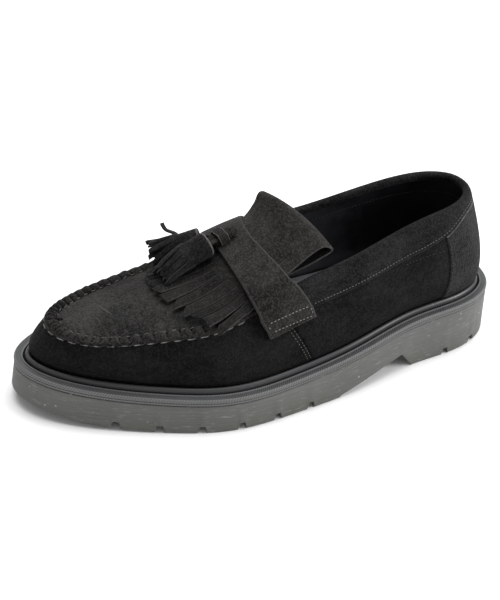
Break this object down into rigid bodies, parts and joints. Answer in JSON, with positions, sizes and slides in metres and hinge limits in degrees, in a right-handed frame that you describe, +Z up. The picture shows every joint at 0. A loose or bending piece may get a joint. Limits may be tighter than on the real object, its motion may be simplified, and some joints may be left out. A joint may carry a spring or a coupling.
{
  "type": "tassel loafer",
  "caption": "Black suede tassel loafer with a kiltie fringe, a saddle strap and a chunky ribbed rubber sole.",
  "frame": {"origin": "centre of the sole's outline on the ground, the bottom centre of the box round the part", "axes": "+Z up, -Y towards the toe, +X towards the outer side of the left foot"},
  "size_m": [0.1132, 0.3036, 0.0974],
  "materials": {
    "suede": "napped suede, matte",
    "sole_rubber": "satin, fine brushed lines",
    "welt_rubber": "semi-gloss",
    "lining": "smooth"
  },
  "bodies": {
    "root": {"outsole": "sole_rubber", "welt": "welt_rubber", "insole": "lining", "upper": "suede", "collar_band": "suede", "heel_counter": "suede", "saddle_strap": "suede", "kiltie": "suede", "tassel_knot": "suede", "tassel_outer": "suede", "tassel_inner": "suede", "tassel_thong": "suede"}
  },
  "joints": []
}
